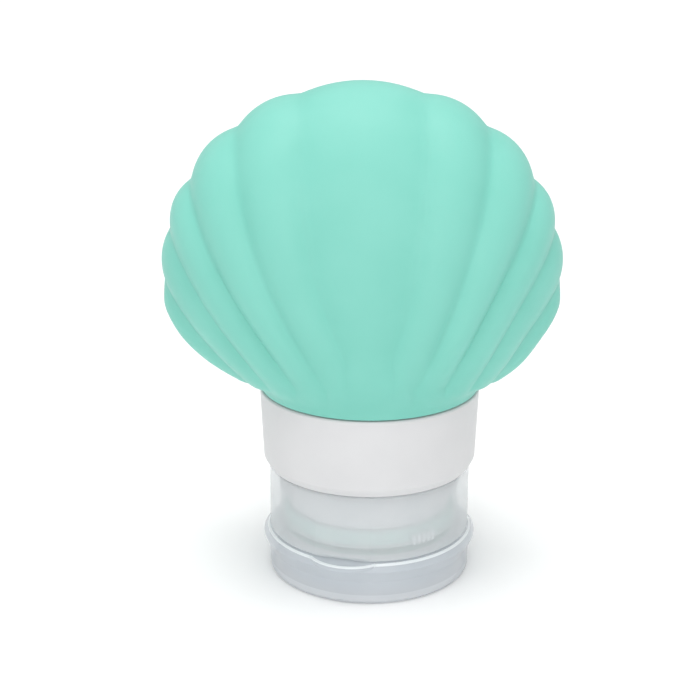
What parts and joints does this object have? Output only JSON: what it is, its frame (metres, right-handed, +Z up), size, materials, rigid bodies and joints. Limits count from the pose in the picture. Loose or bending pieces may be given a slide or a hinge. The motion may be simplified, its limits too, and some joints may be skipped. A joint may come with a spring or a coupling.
{
  "type": "travel bottle",
  "caption": "Squeezable silicone travel bottle shaped as a scallop shell, standing on a flip-top screw cap with a slit valve.",
  "frame": {"origin": "centre of the lid's flat underside, which the bottle stands on", "axes": "+Z up along the neck's axis, from the cap to the shell; the shell's broad front faces -Y and its width runs along X"},
  "size_m": [0.0766, 0.0477, 0.0975],
  "materials": {
    "mint_silicone": "soft matte mint silicone",
    "white_plastic": "satin white moulding",
    "frosted_plastic": "frosted translucent grey moulding",
    "clear_silicone": "clear soft silicone"
  },
  "bodies": {
    "cap": {"cap_base": "frosted_plastic", "drip_valve": "clear_silicone", "valve_retainer": "white_plastic"},
    "seal": {"sealing_gasket": "mint_silicone"},
    "bottle": {"silicone_body": "mint_silicone", "neck_insert": "white_plastic", "collar": "white_plastic"},
    "lid": {"flip_lid": "frosted_plastic"}
  },
  "joints": [
    {"name": "bottle_turn", "type": "hinge", "parent": "cap", "child": "seal", "pos_m": [0, 0, 0.0139], "axis": [0, 0, 1], "range_deg": [0, 900]},
    {"name": "bottle_lift", "type": "slide", "parent": "seal", "child": "bottle", "axis": [0, 0, 1], "range_m": [0, 0.00751]},
    {"name": "lid_hinge", "type": "hinge", "parent": "cap", "child": "lid", "pos_m": [0.00595, 0.02076, 0.00885], "axis": [0.9613, -0.2756, 0], "range_deg": [0, 150]}
  ],
  "couplings": [
    {"joint": "bottle_lift", "follows": "bottle_turn", "m_per_rad": 0.00047746}
  ]
}
